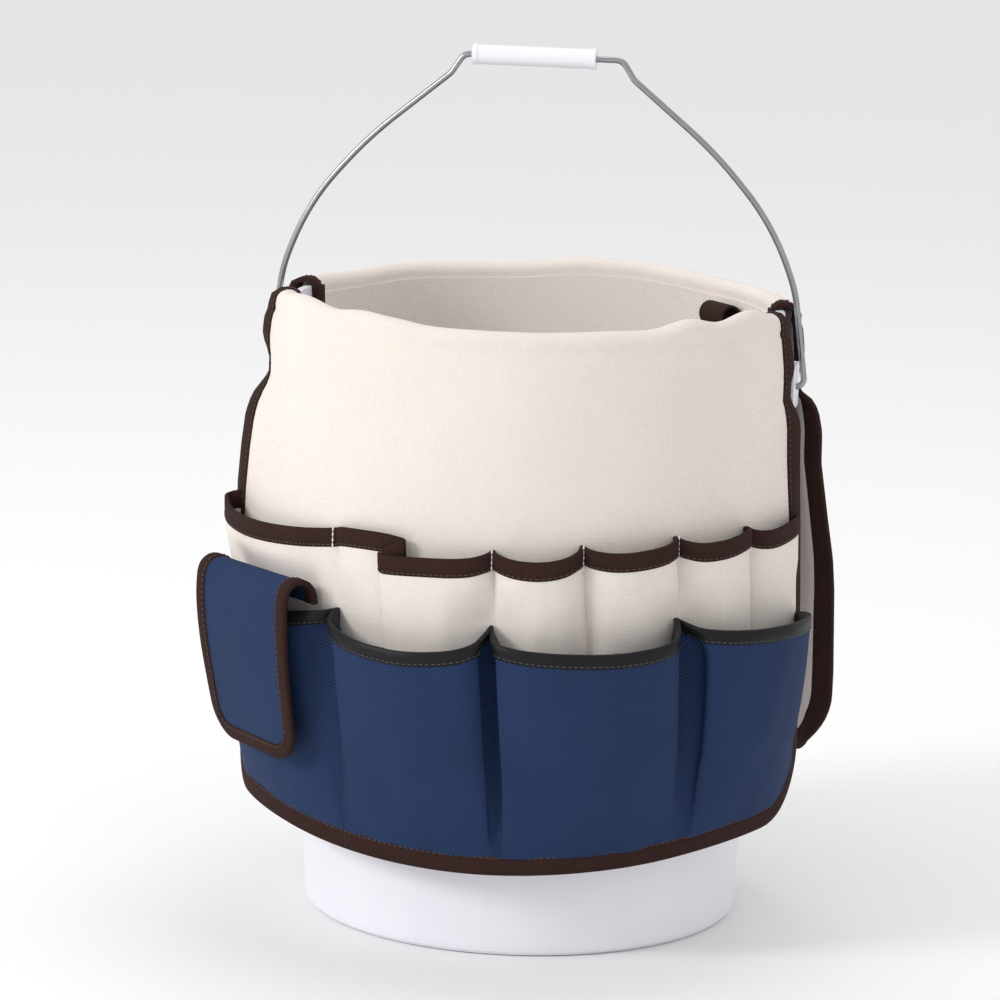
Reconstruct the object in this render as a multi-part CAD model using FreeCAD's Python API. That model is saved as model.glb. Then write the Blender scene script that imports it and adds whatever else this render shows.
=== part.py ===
"""A 5 gallon pail wearing a sewn tool organizer: two pocketed aprons hung over the rim, a lining inside,
a wire bail with a plastic grip, a flapped pocket and a ring tab. Millimetres, +Z up, origin at the centre of
the pail's foot, front of the pail towards -Y. Angles on the cloth are degrees from the front, positive to +X.
"""

import FreeCAD, Part
import math
import os

from FreeCAD import Vector

# ---- pail ----
PAIL_HEIGHT = 368.0
FOOT_RADIUS = 131.5          # outside of the wall at the foot
MOUTH_RADIUS = 145.5         # outside of the wall at the mouth
PAIL_WALL = 2.3
PAIL_FLOOR = 3.0
FOOT_RECESS = 3.0            # the bottom is lifted this much inside the foot ring
FOOT_RING = 13.0             # width of the ring that the pail stands on
FOOT_ROUND = 6.0
RIM_OVERHANG = 3.5           # the rim bead and the ribs stand out of the wall by this
RIM_BEAD = 8.0               # height of the rim bead
RIB_THICKNESS = 2.5
RIB_DROPS = (20.0, 68.0)     # each rib's top, below the rim

# ---- ears and bail ----
PIVOT_DROP = 42.0            # the bail turns this far below the rim
EAR_REACH = 12.5             # the ear's face stands this far out of the mouth's wall
EAR_PLATE = 3.5
EAR_WIDTH = 28.0
EAR_ABOVE = 13.0
EAR_BELOW = 13.0
EAR_CHEEK = 2.5
WIRE_RADIUS = 1.85
WIRE_CLEARANCE = 0.15        # wire in the ear's hole and in the grip
WIRE_STANDOFF = 5.0          # the wire's centre line outside the ear's face
HOOK_INSET = 4.0             # the hooked end's centre line inside the ear's plate
HOOK_RISE = 8.0
HOOK_BEND = 3.0
ELBOW_BEND = 4.5
BAIL_RISE = 189.0            # the straight top above the pivots
GRIP_SEAT = 47.5             # half of the straight top, to the corner of its bend
SEAT_BEND = 7.0
KINK_OUT = 7.5               # the kink below the grip's seat
KINK_DROP = 11.5
KINK_BEND = 12.0
# the arch between kink and ear: share of the way out, share of the way down, bend radius
ARCH = ((0.46, 0.23, 250.0), (0.79, 0.46, 150.0), (0.93, 0.68, 90.0))

# ---- grip ----
GRIP_LENGTH = 74.0
GRIP_RADIUS = 5.9
GRIP_COLLAR = 3.0
GRIP_COLLAR_STEP = 0.4
GRIP_SHIFT = -5.0            # the grip has slid this far along its seat

# ---- cloth ----
CLOTH = 1.2
TAPE = 0.8
SEWN_GAP = 0.05              # between layers that are sewn together
CREST_GAP = 5.5              # the apron hangs this far outside the rim bead
CREST_OUT = MOUTH_RADIUS + RIM_OVERHANG + CREST_GAP
CREST_DROP = 2.5             # the crest's centre below the rim
LINING_GAP = 1.2             # lining to the inside of the pail
LINING_DROP = 112.0
EDGE_ANGLE = 82.0            # each apron ends this far round from its middle
BINDING_WIDTH = 12.0
SLOT_DROP = 22.0             # the slot for the bail runs this far down the lining
CORNER_RADIUS = 42.0         # bottom corners of the aprons
HEM_ARC = 860.0              # the hem rises towards its ends on this radius

# ---- pockets ----
UPPER_DROP = 117.0           # mouths of the upper row, below the rim
UPPER_DEPTH = 112.0
UPPER_BINDING = 10.5
LOWER_DROP = 163.0           # mouths of the lower row, below the rim
LOWER_TRIM = 7.5
PLEAT_LAYER = 3 * CLOTH      # from one layer of the folded pleat to the next, middle to middle
PLEAT_FOLD = 0.54            # where the pleat turns back, share of the pocket's width
PLEAT_BACK = 0.36            # where it turns forward again
PLEAT_STEPS = 4              # facets across the pleat's rear layer
POCKET_GAP = 0.3             # a pocket's foot stands this far off what it is sewn to
SEAM_GAP = 1.6               # upper pockets keep this far from the seams of the lower ones
FACE_STEPS = 7               # facets across a pocket's face
LEVELS = 4                   # steps down a pocket

# ---- flap over the first lower pocket ----
FLAP_ANGLE = -43.0           # the way the flap faces
FLAP_RIGHT = 18.0            # the flap's ends along its own width, from the line that it faces along
FLAP_LEFT = -73.0
FLAP_ROOT_OUT = CREST_OUT + 18.5    # the face that it is sewn to, from the pail's axis
FLAP_HINGE_OUT = CREST_OUT + 26.5
FLAP_HANG_OUT = CREST_OUT + 35.5
FLAP_HEM_OUT = CREST_OUT + 31.5
FLAP_ROOT_DROP = 161.0
FLAP_HINGE_DROP = 150.0
FLAP_SHOULDER_DROP = 157.0
FLAP_HEM_DROP = 256.0
FLAP_THICKNESS = 1.8
FLAP_BINDING = 8.5
FLAP_CORNER = 20.0
HINGE_GAP = 1.2              # from the hinge's axis to the part that lifts
ROOT_SETBACK = 3.0           # from the hinge's axis back to the end of the root
ROOT_STEP = 2.0              # and down to it
PATCH_WIDTH = 25.0
PATCH_LENGTH = 38.0
PATCH_THICKNESS = 1.2
PATCH_DROP = 233.0           # middle of the closing patches

# ---- ring tab inside the mouth ----
TAB_ANGLE = 130.0
TAB_WIDTH = 25.0
TAB_LOOP = 7.5               # outer radius of the webbing's loop
TAB_WEB = 1.8
TAB_DROP = 14.0              # the loop's axis below the rim
TAB_LEG = 24.0
RING_WIRE = 1.3
RING_WIDTH = 31.0
RING_HEIGHT = 24.0
RING_BEND = 10.0             # bow of the ring
RING_CLEARANCE = 0.3         # ring to the bottom of the loop

REACH = 3 * MOUTH_RADIUS     # longer than any cut has to be
AXIS = Vector(0, 0, 1)
ORIGIN = Vector(0, 0, 0)


class Side:
    """One apron: how far it stands out at its middle and its ends, by drop below the rim, and its pockets."""

    def __init__(self, name, turn, hem_drop, edge_flare, upper, lower):
        self.name = name
        self.turn = turn
        self.hem_drop = hem_drop
        self.edge_flare = edge_flare
        self.upper = upper
        self.lower = lower


# drop below the rim, stand-off from the crest's radius
MIDDLE_FLARE = ((CREST_DROP, 0), (24, 0.8), (66, 1.8), (166, 3.0), (320, 3.0))
FRONT_FLARE = ((CREST_DROP, 0), (22, 2.9), (44, 4.2), (68, 10.5), (98, 15.0), (128, 18.5), (168, 20.0), (320, 18.0))
BACK_FLARE = ((CREST_DROP, 0), (22, 2.9), (44, 4.2), (68, 12.5), (98, 20.0), (128, 25.5), (168, 29.0), (320, 31.0))

# each pocket: from angle, to angle, depth at its left, middle and right, sag of its mouth, and how many degrees
# its left and right gussets lean towards its middle
FRONT_UPPER = (
    (-82, -34, 6.5, 9.5, 1.5, 5.0, 1.6, 1.6),
    (-34, 1, 3.0, 13.0, 3.0, 6.0, 1.6, 1.6),
    (1, 20.5, 3.0, 12.0, 3.0, 4.0, 1.6, 1.6),
    (20.5, 41, 3.0, 12.0, 3.0, 4.0, 1.6, 1.6),
    (41, 60, 3.0, 12.0, 3.0, 4.0, 1.6, 1.6),
    (60, 82, 3.0, 9.0, 2.0, 3.0, 1.6, 1.6),
)
FRONT_LOWER = (
    (-82, -34, 13.0, 21.0, 13.0, 8.0, 3.0, 4.5),
    (-34, 1, 20.0, 32.0, 24.0, 13.0, 7.0, 3.0),
    (1, 41, 20.0, 34.0, 26.0, 11.0, 3.0, 6.0),
    (41, 82, 20.0, 29.0, 8.0, 6.0, 4.2, 3.0),
)
# on the back, the pockets beside the left edge lie nearly flat
BACK_UPPER_FIRST = (-82, -60, 2.5, 7.5, 3.0, 3.0, 1.6, 1.6)
BACK_LOWER_FIRST = (-82, -41, 8.0, 12.0, 14.0, 6.0, 2.2, 4.2)
PLEATED = ("front", 1)       # the upper pocket with the folded pleat


def mirrored(pockets):
    """The same pockets in the order that a mirror shows."""
    return tuple((-b, -a, right, middle, left, sag, right_lean, left_lean)
                 for a, b, left, middle, right, sag, left_lean, right_lean in reversed(pockets))


FRONT = Side("front", 0, 311.0, FRONT_FLARE, FRONT_UPPER, FRONT_LOWER)
BACK_UPPER = (BACK_UPPER_FIRST,) + mirrored(FRONT_UPPER)[1:]
BACK_LOWER = (BACK_LOWER_FIRST,) + mirrored(FRONT_LOWER)[1:]
BACK = Side("back", 180, 293.0, BACK_FLARE, BACK_UPPER, BACK_LOWER)


# ---------------------------------------------------------------- helpers
def reading(table, at):
    """A table of (place, value) read along straight lines."""
    for (p0, v0), (p1, v1) in zip(table, table[1:]):
        if at <= p1:
            return v0 + (v1 - v0) * max(0.0, at - p0) / (p1 - p0)
    return table[-1][1]


def apron_circle(side, drop):
    """Centre (behind the axis) and radius of the circle that the apron's outside follows at this drop."""
    middle = CREST_OUT + reading(MIDDLE_FLARE, drop)
    edge = CREST_OUT + reading(side.edge_flare, drop)
    across = edge * math.sin(math.radians(EDGE_ANGLE))
    ahead = middle - edge * math.cos(math.radians(EDGE_ANGLE))
    radius = (across ** 2 + ahead ** 2) / (2 * ahead)
    return radius - middle, radius


def apron_point(side, angle, drop, out=0.0):
    """The point on the apron's outside at this angle and drop, moved out of it by out."""
    behind, radius = apron_circle(side, drop)
    a = math.radians(angle)
    r = -behind * math.cos(a) + math.sqrt((radius + out) ** 2 - (behind * math.sin(a)) ** 2)
    return Vector(r * math.sin(a), -r * math.cos(a), PAIL_HEIGHT - drop)


def angle_of(length, radius):
    return math.degrees(length / radius)


def revolved(points, degrees=360.0, start=0.0):
    """A (radius, height) outline turned about the axis; start and degrees are measured from the front."""
    face = Part.Face(Part.makePolygon([Vector(0, -r, z) for r, z in points + [points[0]]]))
    face.rotate(ORIGIN, AXIS, start)
    return face.revolve(ORIGIN, AXIS, degrees)


def filleted(points, bends):
    """Straight runs joined by tangent arcs: bends has one radius for each inner point."""
    edges, here = [], points[0]
    for before, corner, after, bend in zip(points, points[1:], points[2:], bends):
        back = (before - corner).normalize()
        ahead = (after - corner).normalize()
        half = back.getAngle(ahead) / 2
        reach = bend / math.tan(half)
        start, end = corner + back * reach, corner + ahead * reach
        middle = corner + (back + ahead).normalize() * (bend / math.sin(half) - bend)
        edges += [Part.LineSegment(here, start).toShape(), Part.Arc(start, middle, end).toShape()]
        here = end
    return edges + [Part.LineSegment(here, points[-1]).toShape()]


def rod(edges, radius):
    """A round rod along a path."""
    path = Part.Wire(edges)
    start = edges[0].valueAt(edges[0].FirstParameter)
    along = edges[0].tangentAt(edges[0].FirstParameter)
    ring = Part.Wire(Part.Circle(start, along, radius).toShape())
    return path.makePipeShell([ring], True, False)


def prism(outline, along):
    """A closed outline of edges, extruded."""
    return Part.Face(Part.Wire(Part.__sortEdges__(outline))).extrude(along)


def lines(points):
    return [Part.LineSegment(a, b).toShape() for a, b in zip(points, points[1:])]


def local_frame(angle):
    """Unit vectors of a place on the cloth: along it (towards larger angles) and out of it."""
    a = math.radians(angle)
    return Vector(math.cos(a), math.sin(a), 0), Vector(math.sin(a), -math.cos(a), 0)


def placed(side, shape):
    """A shape made at the front, turned to its own side."""
    shape.rotate(ORIGIN, AXIS, side.turn)
    return shape


# ---------------------------------------------------------------- pail
def wall_radius(height):
    """Outside of the pail's wall."""
    return FOOT_RADIUS + (MOUTH_RADIUS - FOOT_RADIUS) * height / PAIL_HEIGHT


def lining_radius(height):
    """Outside of the lining."""
    return wall_radius(height) - PAIL_WALL - LINING_GAP


CREST_IN = lining_radius(PAIL_HEIGHT - CREST_DROP) - CLOTH
CREST_RADIUS = (CREST_OUT - CREST_IN) / 2
CREST_CENTRE = (CREST_OUT + CREST_IN) / 2


def pail_body():
    outside = [(0, FOOT_RECESS), (FOOT_RADIUS - FOOT_RING - FOOT_ROUND, FOOT_RECESS),
               (FOOT_RADIUS - FOOT_RING - FOOT_RECESS, 0), (FOOT_RADIUS - FOOT_ROUND, 0)]
    for turn in (30, 60, 90):
        a = math.radians(turn)
        outside.append((wall_radius(FOOT_ROUND) - FOOT_ROUND * (1 - math.sin(a)), FOOT_ROUND * (1 - math.cos(a))))
    for drop in reversed(RIB_DROPS):
        for height in (PAIL_HEIGHT - drop - RIB_THICKNESS, PAIL_HEIGHT - drop):
            wall, rib = (wall_radius(height), height), (MOUTH_RADIUS + RIM_OVERHANG, height)
            outside += [wall, rib] if height < PAIL_HEIGHT - drop else [rib, wall]
    bead_foot = PAIL_HEIGHT - RIM_BEAD
    outside += [(wall_radius(bead_foot), bead_foot), (MOUTH_RADIUS + RIM_OVERHANG, bead_foot),
                (MOUTH_RADIUS + RIM_OVERHANG, PAIL_HEIGHT - PAIL_WALL / 2),
                (MOUTH_RADIUS + RIM_OVERHANG - PAIL_WALL / 2, PAIL_HEIGHT)]
    floor_top = FOOT_RECESS + PAIL_FLOOR
    inside = [(MOUTH_RADIUS - PAIL_WALL, PAIL_HEIGHT),
              (wall_radius(floor_top + FOOT_ROUND) - PAIL_WALL, floor_top + FOOT_ROUND),
              (wall_radius(floor_top) - PAIL_WALL - FOOT_ROUND, floor_top), (0, floor_top)]
    return revolved(outside + inside)


def ear():
    """The hollow lug on the +X side that a hooked end of the bail turns in, open below."""
    pivot = PAIL_HEIGHT - PIVOT_DROP
    face = MOUTH_RADIUS + EAR_REACH
    root = wall_radius(pivot - EAR_BELOW) - PAIL_WALL / 2
    height = EAR_ABOVE + EAR_BELOW
    block = Part.makeBox(face - root, EAR_WIDTH, height, Vector(root, -EAR_WIDTH / 2, pivot - EAR_BELOW))
    hollow = Part.makeBox(face - EAR_PLATE - root, EAR_WIDTH - 2 * EAR_CHEEK, height - EAR_CHEEK,
                          Vector(root, -EAR_WIDTH / 2 + EAR_CHEEK, pivot - EAR_BELOW))
    hole = Part.makeCylinder(WIRE_RADIUS + WIRE_CLEARANCE, 2 * EAR_PLATE,
                             Vector(face - 1.5 * EAR_PLATE, 0, pivot), Vector(1, 0, 0))
    core = Part.makeCone(FOOT_RADIUS - PAIL_WALL / 2, MOUTH_RADIUS - PAIL_WALL / 2, PAIL_HEIGHT)
    return block.cut(hollow).cut(hole).cut(core)


def pail():
    lug = ear()
    other = lug.copy()
    other.rotate(ORIGIN, AXIS, 180)
    return pail_body().fuse([lug, other]).removeSplitter()


# ---------------------------------------------------------------- bail
def bail_half():
    """Corners and bends of the bail from its hooked end to the middle of the straight top, on the +X side."""
    pivot = PAIL_HEIGHT - PIVOT_DROP
    ear_face = MOUTH_RADIUS + EAR_REACH
    foot_x = ear_face + WIRE_STANDOFF
    hook_x = ear_face - EAR_PLATE - HOOK_INSET
    kink_x, kink_z = GRIP_SEAT + KINK_OUT, pivot + BAIL_RISE - KINK_DROP
    corners = [(hook_x, pivot + HOOK_RISE), (hook_x, pivot), (foot_x, pivot)]
    bends = [HOOK_BEND, ELBOW_BEND]
    for out, down, bend in reversed(ARCH):
        corners.append((kink_x + out * (foot_x - kink_x), kink_z - down * (kink_z - pivot)))
        bends.append(bend)
    corners += [(kink_x, kink_z), (GRIP_SEAT, pivot + BAIL_RISE)]
    bends += [KINK_BEND, SEAT_BEND]
    return corners, bends


def bail_wire():
    corners, bends = bail_half()
    whole = corners + [(-x, z) for x, z in reversed(corners)]
    return rod(filleted([Vector(x, 0, z) for x, z in whole], bends + bends[::-1]), WIRE_RADIUS)


def bail_grip():
    height = PAIL_HEIGHT - PIVOT_DROP + BAIL_RISE
    start = Vector(GRIP_SHIFT - GRIP_LENGTH / 2, 0, height)
    across = Vector(1, 0, 0)
    body = Part.makeCylinder(GRIP_RADIUS, GRIP_LENGTH, start, across)
    for end in (0, GRIP_LENGTH - GRIP_COLLAR):
        collar = Part.makeCylinder(GRIP_RADIUS + GRIP_COLLAR_STEP, GRIP_COLLAR, start + across * end, across)
        body = body.fuse(collar)
    bore = Part.makeCylinder(WIRE_RADIUS + WIRE_CLEARANCE, GRIP_LENGTH, start, across)
    return body.removeSplitter().cut(bore)


# ---------------------------------------------------------------- aprons and lining
def crest(inner, outer, start, degrees):
    """The roll of cloth over the rim, between two radii about its own centre."""
    height = PAIL_HEIGHT - CREST_DROP
    rings = [Part.Arc(*(Vector(0, -CREST_CENTRE + s * r, height + (1 - abs(s)) * r) for s in (-1, 0, 1))).toShape()
             for r in (inner, outer)]
    ends = [Part.LineSegment(*(Vector(0, -CREST_CENTRE + s * r, height) for r in (inner, outer))).toShape()
            for s in (-1, 1)]
    face = Part.Face(Part.Wire(Part.__sortEdges__(rings + ends)))
    face.rotate(ORIGIN, AXIS, start)
    return face.revolve(ORIGIN, AXIS, degrees)


def apron_level(side, drop, inside, outside, inset):
    """The outline of a band of cloth at one drop: inside and outside are its faces, out of the apron's outside."""
    behind, radius = apron_circle(side, drop)
    end = EDGE_ANGLE - angle_of(inset, radius)
    outer = [apron_point(side, a, drop, outside) for a in (-end, 0, end)]
    inner = [apron_point(side, a, drop, inside) for a in (end, 0, -end)]
    edges = [Part.Arc(*outer).toShape(), Part.LineSegment(outer[2], inner[0]).toShape(),
             Part.Arc(*inner).toShape(), Part.LineSegment(inner[2], outer[0]).toShape()]
    return Part.Wire(edges)


def hem_cut(side, inset):
    """Everything below the hem's curve, raised by inset."""
    low = PAIL_HEIGHT - side.hem_drop + inset
    half = 1.5 * MOUTH_RADIUS
    rise = HEM_ARC - math.sqrt(HEM_ARC ** 2 - half ** 2)
    left, middle, right = (Vector(x, -REACH, low + z) for x, z in ((-half, rise), (0, 0), (half, rise)))
    below = Vector(0, 0, -REACH)
    outline = [Part.Arc(left, middle, right).toShape()] + lines([right, right + below, left + below, left])
    return prism(outline, Vector(0, 2 * REACH, 0))


def corner_cut(side, sign, inset):
    """What lies outside the rounded bottom corner at one end of the apron."""
    along, out = local_frame(sign * EDGE_ANGLE)
    along = along * sign
    edge = apron_point(side, sign * EDGE_ANGLE, side.hem_drop)
    across = abs(edge.x)
    foot = PAIL_HEIGHT - side.hem_drop + HEM_ARC - math.sqrt(HEM_ARC ** 2 - across ** 2)
    centre = Vector(edge.x, edge.y, foot + CORNER_RADIUS) - along * CORNER_RADIUS
    deep = MOUTH_RADIUS / 2
    corners = [centre + along * s + AXIS * h - out * deep
               for s, h in ((0, 0), (2 * CORNER_RADIUS, 0), (2 * CORNER_RADIUS, -2 * CORNER_RADIUS),
                            (0, -2 * CORNER_RADIUS), (0, 0))]
    block = prism(lines(corners), out * (2 * deep))
    drum = Part.makeCylinder(CORNER_RADIUS - inset, 2 * deep, centre - out * deep, out)
    return block.cut(drum)


def trimmed(side, shape, inset):
    """Cloth cut to the apron's hem and rounded corners."""
    return shape.cut([hem_cut(side, inset)] + [corner_cut(side, sign, inset) for sign in (-1, 1)])


def apron_sheet(side, inside, outside, inset):
    levels = [apron_level(side, drop, inside, outside, inset) for drop, _ in side.edge_flare]
    return trimmed(side, Part.makeLoft(levels, True, True), inset)


def apron(side):
    wall = apron_sheet(side, -CLOTH, 0, 0)
    roll = crest(CREST_RADIUS - CLOTH, CREST_RADIUS, -EDGE_ANGLE, 2 * EDGE_ANGLE)
    return placed(side, wall.fuse(roll).removeSplitter())


def edge_binding(side):
    """The tape folded over the apron's two side edges and its hem."""
    tape = apron_sheet(side, -CLOTH - TAPE, TAPE, -TAPE)
    window = apron_sheet(side, -CLOTH - 3 * TAPE, 3 * TAPE, BINDING_WIDTH)
    lid = Part.makeCylinder(REACH, REACH, Vector(0, 0, PAIL_HEIGHT - CREST_DROP - 2 * TAPE))
    cloth = apron_sheet(side, -CLOTH, 0, 0)
    return placed(side, tape.cut([window, cloth, lid]))


def slot_wedge(half_angle, low, start):
    """A wedge of the mouth about the bail's line, above a height."""
    return revolved([(0, low), (REACH, low), (REACH, low + REACH), (0, low + REACH)],
                    2 * half_angle, start - half_angle)


def lining():
    top, foot = PAIL_HEIGHT - CREST_DROP, PAIL_HEIGHT - LINING_DROP
    shell = revolved([(lining_radius(foot), foot), (CREST_IN + CLOTH, top), (CREST_IN, top),
                      (lining_radius(foot) - CLOTH, foot)])
    slots = [slot_wedge(90 - EDGE_ANGLE, PAIL_HEIGHT - SLOT_DROP, start) for start in (90, 270)]
    return shell.cut(slots)


def lining_binding():
    """The tape round the lining's lower edge."""
    foot, top = PAIL_HEIGHT - LINING_DROP, PAIL_HEIGHT - LINING_DROP + UPPER_BINDING
    outer = [(lining_radius(z) + TAPE, z) for z in (foot - TAPE, top)]
    inner = [(lining_radius(z) - CLOTH - TAPE, z) for z in (top, foot - TAPE)]
    return revolved(outer + inner).cut(lining())


def slot_binding(start):
    """The tape round one slot: a U on the inside of the lining, and a strap over the rim on each side."""
    low, high = PAIL_HEIGHT - SLOT_DROP, PAIL_HEIGHT - CREST_DROP
    half = 90 - EDGE_ANGLE
    band = angle_of(BINDING_WIDTH, CREST_OUT)
    foot = low - BINDING_WIDTH
    face = lining_radius(foot) - CLOTH
    tape = revolved([(face, foot), (CREST_IN, high), (CREST_IN - TAPE, high), (face - TAPE, foot)],
                    2 * (half + band), start - half - band).cut(slot_wedge(half, low, start))
    straps = [crest(CREST_RADIUS, CREST_RADIUS + TAPE, first, band) for first in (start - half - band, start + half)]
    return tape.fuse(straps).removeSplitter()


# ---------------------------------------------------------------- pockets
def bellows(depth, share):
    """How much of its mouth's depth a pocket has left, share of the way down."""
    return depth * (1 - share ** 1.6)


def seam_inset(row):
    """How far from a seam's line the middle of a pocket's cloth starts."""
    wrap = CLOTH / 2 + TAPE
    return wrap + SEWN_GAP if row == "lower" else 2 * wrap + SEAM_GAP


def pocket_line(pocket, share, row, pleated):
    """(angle, depth) of the middle of the cloth, from seam to seam, share of the way down."""
    start, end, left, middle, right, _, left_lean, right_lean = pocket
    inset = angle_of(seam_inset(row), CREST_OUT)
    foot = CLOTH / 2 + TAPE + POCKET_GAP
    feet = [foot + (TAPE + POCKET_GAP) * (abs(angle) == EDGE_ANGLE) for angle in (start, end)]
    points = [(start + inset, feet[0])]
    pleat = 0.0
    if pleated:
        fold, back = start + (end - start) * PLEAT_FOLD, start + (end - start) * PLEAT_BACK
        layer = PLEAT_LAYER * (1 - 0.15 * share)
        points = [(points[0][0] + (fold - points[0][0]) * k / PLEAT_STEPS, foot) for k in range(PLEAT_STEPS + 1)]
        points += [(fold, foot + layer), (back, foot + layer), (back, foot + 2 * layer)]
        pleat = 2 * layer
    first = points[-1][0] + left_lean
    last = end - inset - right_lean
    side_depth = foot + pleat + bellows(left, share)
    last_depth = foot + bellows(right, share)
    for k in range(FACE_STEPS + 1):
        s = k / FACE_STEPS
        rest = side_depth + (last_depth - side_depth) * s
        bulge = bellows(middle - (left + right) / 2, share) * math.sin(math.pi * s)
        points.append((first + (last - first) * s, rest + bulge))
    return points + [(end - inset, feet[1])]


def offset_line(points, distance):
    """A line of plan points moved sideways, mitred at its corners."""
    moved = []
    for k, here in enumerate(points):
        ways = [(points[j + 1] - points[j]).normalize() for j in (k - 1, k) if 0 <= j < len(points) - 1]
        normals = [Vector(w.y, -w.x, 0) for w in ways]
        mean = (normals[0] + normals[-1]).normalize()
        moved.append(here + mean * (distance / mean.dot(normals[0])))
    return moved


def pocket_band(side, pocket, row, top, bottom, inside, outside, pleated):
    """Cloth from one drop to another, following a pocket; inside and outside are its faces about its middle."""
    levels = []
    for k in range(LEVELS + 1):
        share = k / LEVELS
        drop = top + (bottom - top) * share
        plan = [apron_point(side, a, drop, d) for a, d in pocket_line(pocket, share, row, pleated)]
        outline = offset_line(plan, outside) + offset_line(plan, inside)[::-1]
        levels.append(Part.makePolygon(outline + [outline[0]]))
    return Part.makeLoft(levels, True, True)


def mouth_cut(side, pocket, drop, sag):
    """Everything above a pocket's sagging mouth."""
    start, end = pocket[0], pocket[1]
    along, out = local_frame((start + end) / 2)
    reach = apron_point(side, end, drop).Length
    half = reach * math.sin(math.radians((end - start) / 2)) * 1.25
    seam = PAIL_HEIGHT - drop
    deep = out * (CREST_OUT / 2)
    left, middle, right = (deep + along * s + AXIS * z
                           for s, z in ((-half, seam), (0, seam - sag), (half, seam)))
    up = AXIS * REACH
    outline = [Part.Arc(left, middle, right).toShape()] + lines([right, right + up, left + up, left])
    return prism(outline, out * CREST_OUT)


def pocket(side, row, index):
    """(cloth, its mouth's tape) of one pocket."""
    if row == "upper":
        shape, top, tape_height = side.upper[index], UPPER_DROP, UPPER_BINDING
        bottom = UPPER_DROP + UPPER_DEPTH
    else:
        shape, top, tape_height = side.lower[index], LOWER_DROP, LOWER_TRIM
        bottom = side.hem_drop - BINDING_WIDTH
    pleated = row == "upper" and (side.name, index) == PLEATED
    sag = shape[5]
    half = CLOTH / 2
    cloth = pocket_band(side, shape, row, top, bottom, -half, half, pleated)
    wrap = pocket_band(side, shape, row, top, bottom, -half - TAPE, half + TAPE, pleated)
    mouth = mouth_cut(side, shape, top, sag)
    below = mouth_cut(side, shape, top + tape_height, sag)
    cloth = trimmed(side, cloth, BINDING_WIDTH).cut(mouth)
    tape = wrap.common(below).cut([mouth, cloth])
    return placed(side, cloth), placed(side, tape)


# ---------------------------------------------------------------- flap
def flap_point(u, out, drop):
    along, ahead = local_frame(FLAP_ANGLE)
    return along * u + ahead * out + AXIS * (PAIL_HEIGHT - drop)


def flap_strip(line, half_thickness):
    """A strip along the flap's whole width that follows a line of (out, drop) points."""
    across = local_frame(FLAP_ANGLE)[0] * (FLAP_RIGHT - FLAP_LEFT)
    flat = [Vector(out, PAIL_HEIGHT - drop, 0) for out, drop in line]
    ring = offset_line(flat, half_thickness) + offset_line(flat, -half_thickness)[::-1]
    points = [flap_point(FLAP_LEFT, p.x, PAIL_HEIGHT - p.y) for p in ring]
    return prism(lines(points + [points[0]]), across)


def flap_lines():
    """(out, drop) of the sewn root and of the part that lifts."""
    crown = (FLAP_HINGE_OUT - ROOT_SETBACK + FLAP_ROOT_OUT) / 2
    root = [(FLAP_ROOT_OUT, FLAP_ROOT_DROP), (FLAP_ROOT_OUT, FLAP_SHOULDER_DROP),
            (crown, (FLAP_HINGE_DROP + ROOT_STEP + FLAP_SHOULDER_DROP) / 2 - 1),
            (FLAP_HINGE_OUT - ROOT_SETBACK, FLAP_HINGE_DROP + ROOT_STEP)]
    shoulder = (FLAP_HANG_OUT - (FLAP_HANG_OUT - FLAP_HINGE_OUT) * 0.3, FLAP_HINGE_DROP + 2)
    lifts = [(FLAP_HINGE_OUT + HINGE_GAP, FLAP_HINGE_DROP), shoulder,
             (FLAP_HANG_OUT, FLAP_SHOULDER_DROP), (FLAP_HEM_OUT, FLAP_HEM_DROP)]
    return root, lifts


def flap_window(inset):
    """A block through the flap with its lower corners rounded, smaller by inset on three edges."""
    left, right = FLAP_LEFT + inset, FLAP_RIGHT - inset
    foot, round_ = FLAP_HEM_DROP - inset, FLAP_CORNER - inset
    start = FLAP_ROOT_OUT / 2
    corners = [flap_point(u, start, d) for u, d in
               ((left, 0), (left, foot), (right, foot), (right, 0))]
    edges = filleted(corners, [round_, round_]) + lines([corners[-1], corners[0]])
    return prism(edges, local_frame(FLAP_ANGLE)[1] * FLAP_ROOT_OUT)


def flap_pieces():
    root_line, lift_line = flap_lines()
    half = FLAP_THICKNESS / 2
    root = flap_strip(root_line, half)
    panel = flap_strip(lift_line, half).common(flap_window(TAPE))
    tape = flap_strip(lift_line, half + TAPE).common(flap_window(0)).cut([flap_window(FLAP_BINDING), panel])
    return root, panel, tape


def patch(out, thickness_out):
    """A closing patch on a vertical face of the flap's own frame, from out to out + thickness_out."""
    middle = (FLAP_LEFT + FLAP_RIGHT) / 2
    low, high = PATCH_DROP + PATCH_WIDTH / 2, PATCH_DROP - PATCH_WIDTH / 2
    corners = [flap_point(middle + s * PATCH_LENGTH / 2, out, d)
               for s, d in ((-1, low), (1, low), (1, high), (-1, high), (-1, low))]
    return prism(lines(corners), local_frame(FLAP_ANGLE)[1] * thickness_out)


def hook_patch():
    """The closing patch inside the flap, cut to the flap's own face."""
    block = patch(FLAP_HEM_OUT - FLAP_THICKNESS / 2 - PATCH_THICKNESS, 3 * PATCH_THICKNESS)
    return block.cut(flap_strip(flap_lines()[1][2:], FLAP_THICKNESS / 2)).Solids[0]


def loop_patch():
    """The closing patch on the pocket under the flap."""
    shape = FRONT.lower[0]
    bottom = FRONT.hem_drop - BINDING_WIDTH
    skin = pocket_band(FRONT, shape, "lower", LOWER_DROP, bottom, CLOTH / 2, CLOTH / 2 + PATCH_THICKNESS, False)
    return skin.common(patch(FLAP_ROOT_OUT - 2 * BINDING_WIDTH, 3 * BINDING_WIDTH)).Solids[0]


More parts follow.
